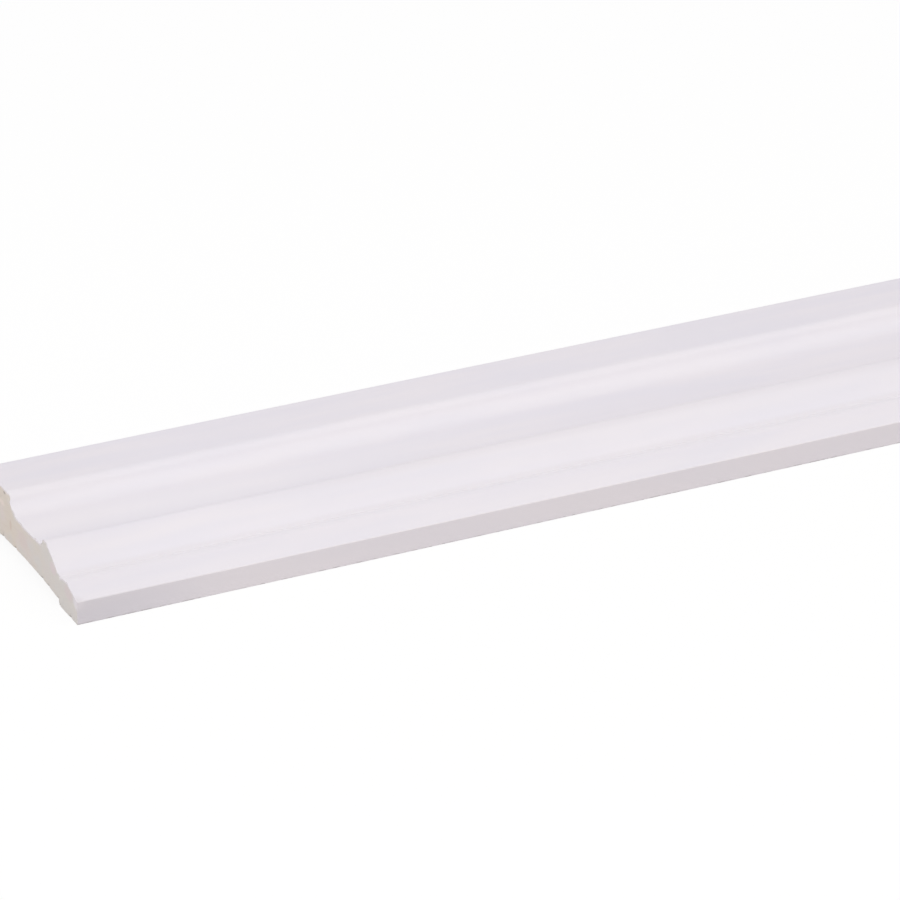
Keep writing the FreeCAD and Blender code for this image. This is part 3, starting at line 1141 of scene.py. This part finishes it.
@dataclass
class Moulding:
    """The length of moulding, run from its section and sawn off at both ends."""

    section: Section
    length: float
    first_step: float = 0.25 * MM
    step_growth: float = 1.28
    close_step: float = 6.0 * MM
    close_length: float = 340.0 * MM
    far_step: float = 36.0 * MM
    far_length: float = 85.0 * MM
    chip_fade: float = 5.0 * MM
    swell: float = 0.03 * MM
    swell_length: float = 45.0 * MM
    swell_width: float = 9.0 * MM
    wall_share: float = 0.74
    margin: float = 0.01
    weld: float = 1e-7
    name: str = "primed_architrave"

    def __post_init__(self) -> None:
        """Draw the outline and break the rims of both cuts."""
        self.outline = self.section.outline()
        self.cuts = {
            End.NEAR: SawCut(End.NEAR, self.outline, NEAR_CHIPS, self.section.front),
            End.FAR: SawCut(End.FAR, self.outline, FAR_CHIPS, self.section.front),
        }
        self.stations = self._stations()
        self.travelled = self.outline.travelled()

    def _stations(self) -> list[float]:
        """Space the rings along the length, close together at the ends.

        Returns:
            The distance of each ring from the near end.
        """
        near, step = [0.0], self.first_step
        while near[-1] < self.length - self.far_length:
            near.append(near[-1] + step)
            limit = self.close_step if near[-1] < self.close_length else self.far_step
            step = min(step * self.step_growth, limit)
        far, step = [self.length], self.first_step
        while far[-1] > near[-1] + self.far_step:
            far.append(far[-1] - step)
            step = min(step * self.step_growth, self.far_step)
        return near + far[::-1]

    def _point(self, corner: int, station: float, inward: Vector) -> Vector:
        """Place a point of the long faces.

        Args:
            corner: Number of the outline's point.
            station: Distance of the ring from the near end.
            inward: Way into the wood at that point.

        Returns:
            The point in the shared frame.
        """
        flat = self.outline.points[corner]
        near = max(0.0, 1 - station / self.chip_fade)
        far = max(0.0, 1 - (self.length - station) / self.chip_fade)
        along = station - self.length / 2
        along += near * self.cuts[End.NEAR].depths[corner]
        along -= far * self.cuts[End.FAR].depths[corner]
        zones = self.outline.zones
        if zones[corner] is Zone.PRIMED and zones[corner - 1] is Zone.PRIMED:
            spot = (station / self.swell_length, *flat / self.swell_width)
            flat = flat + inward * self.swell * (0.5 + 0.5 * noise(spot))
        return Vector((along, *flat))

    def _run_walls(self, mesh: bmesh.types.BMesh) -> list[list[bmesh.types.BMVert]]:
        """Run the section along the length.

        Args:
            mesh: Mesh that takes the faces.

        Returns:
            The vertices of each ring.
        """
        inward = self.outline.inward()
        corners = range(len(self.outline.points))
        rings = [
            [mesh.verts.new(self._point(n, station, inward[n])) for n in corners]
            for station in self.stations
        ]
        chart = mesh.loops.layers.uv.verify()
        girth = self.travelled[-1]
        for ring, following, low, high in zip(rings, rings[1:], self.stations, self.stations[1:]):
            for n in corners:
                after = (n + 1) % len(ring)
                face = mesh.faces.new((ring[n], following[n], following[after], ring[after]))
                face.material_index = self.outline.zones[n].value
                turns = (self.travelled[n], self.travelled[n], *2 * (self.travelled[n + 1],))
                for loop, along, turn in zip(face.loops, (low, high, high, low), turns):
                    place = (along / self.length, self.wall_share * turn / girth)
                    loop[chart].uv = place
        return rings

    def _cap(self, mesh: bmesh.types.BMesh, ring: list[bmesh.types.BMVert], end: End) -> None:
        """Close an end with its sawn face.

        Args:
            mesh: Mesh that takes the faces.
            ring: Vertices of the rim.
            end: Which end it is.
        """
        cut = self.cuts[end]
        inner = cut.inner_points()
        clear, nearest = cut.to_rim(np.array([tuple(point) for point in inner]))
        verts = list(ring)
        for point, gap, corner in zip(inner, clear, nearest):
            along = end.value * (self.length / 2 - cut.sunk(point, gap, corner))
            verts.append(mesh.verts.new((along, *point)))
        rim = mesh.verts.layers.float[RIM_ATTRIBUTE]
        torn_and_shaded = mesh.verts.layers.float[TORN_AND_SHADED_ATTRIBUTE]
        inward = self.outline.inward()
        gaps = [0.0] * len(ring) + list(clear)
        for vert, gap, corner in zip(verts, gaps, [*range(len(ring)), *nearest]):
            facing_up = max(0.0, -inward[corner].y)
            vert[rim] = facing_up * max(0.0, 1 - gap / cut.rim_reach)
            vert[torn_and_shaded] = cut.torn_and_shaded(gap, corner)
        self._fill(mesh, verts, [*self.outline.points, *inner], end)

    def _fill(
        self, mesh: bmesh.types.BMesh, verts: list[bmesh.types.BMVert], flats: list[Vector], end: End
    ) -> None:
        """Fill the outline of an end with triangles.

        Args:
            mesh: Mesh that takes the faces.
            verts: Vertices of the sawn face, those of its rim first.
            flats: The same points across and up.
            end: Which end it is.
        """
        count = len(self.outline.points)
        edges = [(n, (n + 1) % count) for n in range(count)]
        _, _, faces, sources, _, _ = delaunay_2d_cdt(flats, edges, [], FILL_INSIDE, self.weld)
        chart = mesh.loops.layers.uv.verify()
        for face in faces:
            numbers = [sources[n][0] for n in face]
            if end is End.NEAR:
                numbers.reverse()
            made = mesh.faces.new([verts[n] for n in numbers])
            made.material_index = Zone.SAWN.value
            for loop, n in zip(made.loops, numbers):
                loop[chart].uv = self._cap_place(flats[n], end)

    def _cap_place(self, point: Vector, end: End) -> tuple[float, float]:
        """Place a point of a sawn face on the map, beside the other end and above the walls.

        Args:
            point: Point across and up.
            end: Which end it is on.

        Returns:
            Its place on the map.
        """
        across = (point.x - self.section.front) / self.section.width
        up = point.y / self.section.thickness
        start = self.margin + (0.5 if end is End.FAR else 0.0)
        room = 1 - self.wall_share - 2 * self.margin
        beside = start + (0.5 - 2 * self.margin) * across
        return beside, self.wall_share + self.margin + room * up

    def build(self) -> bpy.types.Object:
        """Make the mesh as one closed skin.

        Returns:
            The piece, in place in the shared frame.
        """
        mesh = bmesh.new()
        mesh.verts.layers.float.new(RIM_ATTRIBUTE)
        mesh.verts.layers.float.new(TORN_AND_SHADED_ATTRIBUTE)
        mesh.loops.layers.uv.new(BAKE_MAP)
        rings = self._run_walls(mesh)
        self._cap(mesh, rings[0], End.NEAR)
        self._cap(mesh, rings[-1], End.FAR)
        for face in mesh.faces:
            face.smooth = True
        for ring in (rings[0], rings[-1]):
            for n, vert in enumerate(ring):
                mesh.edges.get((vert, ring[n - 1])).smooth = False
        data = bpy.data.meshes.new(self.name)
        mesh.to_mesh(data)
        mesh.free()
        piece = bpy.data.objects.new(self.name, data)
        bpy.context.scene.collection.objects.link(piece)
        return piece

    def _strips(self) -> tuple[Strip, ...]:
        """Place the strips of painted light, which lifts the shade of the cove near the near end, the
        quirk and the crease, and of painted shade along the bead and on the slope above the crease.

        Returns:
            The strips, from back to front.
        """
        quirk, bead, crease = self.section.quirk, self.section.bead_centre, self.section.nose_foot
        return (
            # Painted light in the cove, fading out away from the near end.
            Strip(quirk.x + 9.0 * MM, 12.0 * MM, PAINTED_LIGHT, 0.42, (200 * MM, 30 * MM)),
            # Painted light that lifts the shade in the quirk.
            Strip(quirk.x, 1.5 * MM, PAINTED_LIGHT, 0.65),
            # Painted shade along the bead, growing away from the near end.
            Strip(bead.x - 1.0 * MM, 2.4 * MM, PAINTED_SHADE, 0.5, (40 * MM, 110 * MM)),
            # Painted shade on the lit slope above the crease.
            Strip(crease.x + 0.8 * MM, 1.5 * MM, PAINTED_SHADE, 0.85),
            # Painted light that lifts the shade of the crease and the back of the nose.
            Strip(crease.x - 0.65 * MM, 1.8 * MM, PAINTED_LIGHT, 0.9),
            Strip(crease.x - 3.0 * MM, 3.0 * MM, PAINTED_LIGHT, 0.45),
        )

    def dress(self, piece: bpy.types.Object) -> None:
        """Give each zone of the piece its finish.

        Args:
            piece: Piece that the moulding was built as.
        """
        section = self.section
        corner = Vector((-self.length / 2, section.front, section.round_centre.y))
        primer = Primer(corner, self._strips())
        smear = (section.front_round, section.round_centre.y)
        finishes = {
            Zone.PRIMED: primer,
            Zone.BACK: PlanedBack(primer, section.width / 2),
            Zone.SAWN: SawnEnd(primer, section.front, section.width, smear),
        }
        for zone in Zone:
            piece.data.materials.append(finishes[zone].material())
        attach(piece, BODY)
        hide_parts(CAD_NODE)


@dataclass(frozen=True)
class Softbox:
    """Large soft lamp that the camera doesn't see. It hangs in a direction from its target."""

    name: str
    azimuth: float
    elevation: float
    distance: float
    length: float
    depth: float
    power: float
    colour: RGB

    def build(self, target: Vector) -> None:
        """Hang the lamp so that it faces its target.

        Args:
            target: Point that the lamp faces.
        """
        lamp = bpy.data.lights.new(self.name, "AREA")
        lamp.shape = "RECTANGLE"
        lamp.size = self.length
        lamp.size_y = self.depth
        lamp.energy = self.power
        lamp.color = self.colour
        hung = bpy.data.objects.new(self.name, lamp)
        turn, lift = math.radians(self.azimuth), math.radians(self.elevation)
        level = math.cos(lift)
        away = Vector((math.cos(turn) * level, math.sin(turn) * level, math.sin(lift)))
        hung.location = target + away * self.distance
        hung.rotation_euler = away.to_track_quat("Z", "Y").to_euler()
        hung.visible_camera = False
        bpy.context.scene.collection.objects.link(hung)


@dataclass(frozen=True)
class Studio:
    """Plain pale floor in a white room, under a large soft lamp."""

    floor_reach: float = 30.0
    floor_gap: float = 0.05 * MM
    floor_tone: RGB = (0.64, 0.62, 0.63)
    floor_glow: float = 0.9
    room_tone: RGB = (1.03, 0.97, 1.03)
    room_level: float = 0.54
    lamp_target: tuple[float, float, float] = (-0.8, 0.0, 0.0)
    lamps: tuple[Softbox, ...] = (
        Softbox(
            "overhead_softbox",
            azimuth=-90.0,
            elevation=57.0,
            distance=1.7,
            length=7.0,
            depth=1.6,
            power=38.0,
            colour=(0.98, 1.02, 0.92),
        ),
        Softbox(
            "end_softbox",
            azimuth=180.0,
            elevation=25.0,
            distance=1.8,
            length=2.4,
            depth=1.6,
            power=7.5,
            colour=WHITE,
        ),
    )

    def _seen(self, graph: Graph) -> Wire:
        """Tell the rays that show a surface from those that only light one.

        Args:
            graph: Graph that takes the nodes.

        Returns:
            1 for a ray from the camera, off a shiny surface or through glass, and 0 otherwise.
        """
        outputs = graph.node("ShaderNodeLightPath", {}, {}).socket.node.outputs
        camera, glossy, clear = (
            Wire(graph, outputs[name])
            for name in ("Is Camera Ray", "Is Glossy Ray", "Is Transmission Ray")
        )
        return camera.larger(glossy).larger(clear)

    def _floor_material(self) -> bpy.types.Material:
        """Make the floor's material, which shows white but keeps the object's shadow.

        Returns:
            The new material.
        """
        made = bpy.data.materials.new("pale_floor")
        made.use_nodes = True
        graph = Graph(made.node_tree)
        plain = graph.node("ShaderNodeBsdfDiffuse", {}, {"Color": self.floor_tone})
        shaded = graph.node("ShaderNodeBsdfDiffuse", {}, {"Color": WHITE})
        white = graph.node("ShaderNodeEmission", {}, {"Color": WHITE})
        shown = graph.node("ShaderNodeMixShader", {}, {0: self.floor_glow, 1: shaded, 2: white})
        both = graph.node("ShaderNodeMixShader", {}, {0: self._seen(graph), 1: plain, 2: shown})
        graph.node("ShaderNodeOutputMaterial", {}, {"Surface": both})
        return made

    def _lay_floor(self) -> None:
        """Lay the floor under the moulding."""
        reach = self.floor_reach
        data = bpy.data.meshes.new("floor")
        corners = [(-reach, -reach, 0), (reach, -reach, 0), (reach, reach, 0), (-reach, reach, 0)]
        data.from_pydata(corners, [], [(0, 1, 2, 3)])
        data.materials.append(self._floor_material())
        floor = bpy.data.objects.new("floor", data)
        floor.location.z = CAD_BOX[0].z - self.floor_gap
        bpy.context.scene.collection.objects.link(floor)

    def _paint_room(self) -> None:
        """Make the room white where it is seen and dim where it only lights the object."""
        world = bpy.data.worlds.new("white_room")
        world.use_nodes = True
        bpy.context.scene.world = world
        graph = Graph(world.node_tree)
        lighting = {"Color": self.room_tone, "Strength": self.room_level}
        dim = graph.node("ShaderNodeBackground", {}, lighting)
        white = graph.node("ShaderNodeBackground", {}, {"Color": WHITE, "Strength": 1.0})
        both = graph.node("ShaderNodeMixShader", {}, {0: self._seen(graph), 1: dim, 2: white})
        graph.node("ShaderNodeOutputWorld", {}, {"Surface": both})

    def build(self) -> None:
        """Set up the floor, the room and the lamps."""
        self._lay_floor()
        self._paint_room()
        for lamp in self.lamps:
            lamp.build(Vector(self.lamp_target))
            LOG.info("hung %s", lamp.name)
        bpy.context.scene.view_settings.view_transform = "Standard"


@dataclass(frozen=True)
class PhotoCamera:
    """Camera at the photo's viewing angle, found from the moulding's own edges."""

    azimuth: float = 26.11
    elevation: float = 25.79
    frame_width_px: float = 900.0
    focal_length_px: float = 4865.8
    corner_px: tuple[float, float] = (77.6, 625.5)
    corner_distance: float = 1.326
    sensor: float = 36.0

    def build(self, corner: Vector) -> None:
        """Stand the camera so that a corner of the moulding falls on its place in the photo.

        Args:
            corner: Lowest corner of the thin edge at the near end.
        """
        data = bpy.data.cameras.new("photo_camera")
        data.sensor_width = self.sensor
        data.lens = self.sensor * self.focal_length_px / self.frame_width_px
        camera = bpy.data.objects.new("photo_camera", data)
        tilt = math.radians(90 - self.elevation)
        turn = Matrix.Rotation(math.radians(-self.azimuth), 3, "Z") @ Matrix.Rotation(tilt, 3, "X")
        middle = self.frame_width_px / 2
        aside = (self.corner_px[0] - middle) / self.focal_length_px
        below = (self.corner_px[1] - middle) / self.focal_length_px
        to_corner = turn @ (Vector((aside, -below, -1)) * self.corner_distance)
        camera.matrix_world = Matrix.Translation(corner - to_corner) @ turn.to_4x4()
        bpy.context.scene.collection.objects.link(camera)
        bpy.context.scene.camera = camera


def main() -> None:
    """Build the moulding, the studio and the camera."""
    logging.basicConfig(level=logging.INFO, format="%(name)s: %(message)s")
    low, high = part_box(CAD_NODE)
    size = high - low
    moulding = Moulding(Section(size.y, size.z), size.x)
    piece = moulding.build()
    moulding.dress(piece)
    LOG.info("built %s with %d faces", piece.name, len(piece.data.polygons))
    Studio().build()
    PhotoCamera().build(low)
    LOG.info("stood the camera")


if __name__ == "__main__":
    main()
